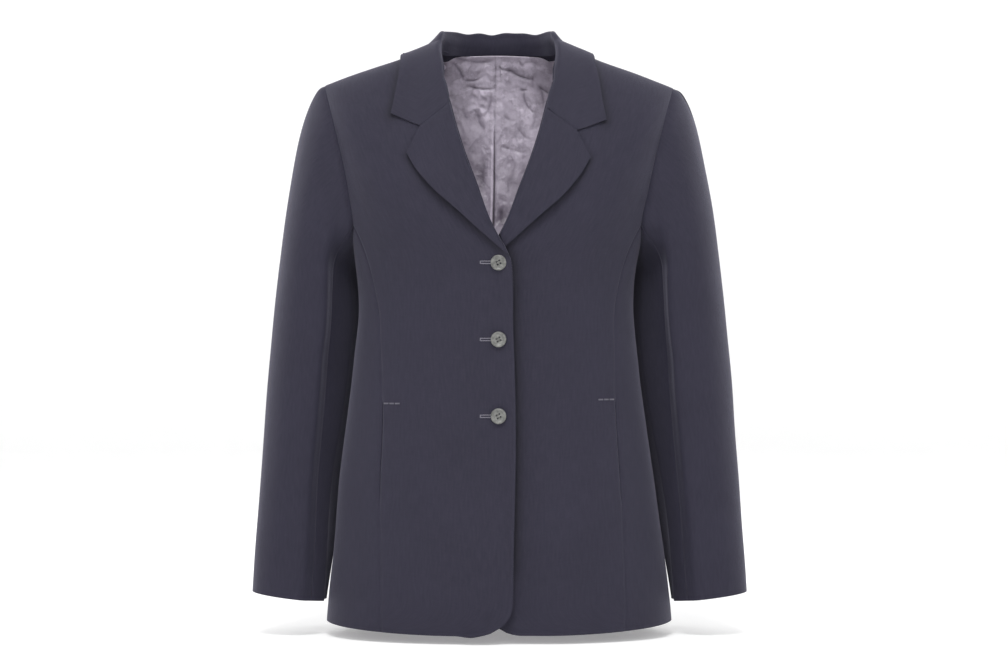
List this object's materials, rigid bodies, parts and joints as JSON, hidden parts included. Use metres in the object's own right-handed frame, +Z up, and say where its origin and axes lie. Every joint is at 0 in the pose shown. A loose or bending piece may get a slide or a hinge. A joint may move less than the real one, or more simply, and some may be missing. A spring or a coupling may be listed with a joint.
{
  "type": "suit jacket",
  "caption": "Single-breasted suit jacket with notched lapels, buttoned front, seam pockets and long sleeves, filled out with no wearer.",
  "frame": {"origin": "where the wearer's shoulders hold the jacket up: on the centre plane, at the level of the neck points of the shoulders and on the line of the shoulder seams", "axes": "+Z up along the back, -Y the way the front faces, +X towards the wearer's left"},
  "size_m": [0.582, 0.2594, 0.708],
  "materials": {
    "cloth": "fine plain-weave suiting, slate navy, matt with a slight sheen",
    "lining": "mauve-grey satin lining",
    "horn": "mottled grey horn-like button"
  },
  "bodies": {
    "root": {"front_right": "cloth", "side_right": "cloth", "back_right": "cloth", "lapel_right": "cloth", "top_sleeve_right": "cloth", "under_sleeve_right": "cloth", "pocket_right": "cloth", "lining_right": "lining", "front_left": "cloth", "side_left": "cloth", "back_left": "cloth", "lapel_left": "cloth", "top_sleeve_left": "cloth", "under_sleeve_left": "cloth", "pocket_left": "cloth", "lining_left": "lining", "collar": "cloth", "collar_stand": "cloth", "button_1": "horn", "button_2": "horn", "button_3": "horn"}
  },
  "joints": []
}
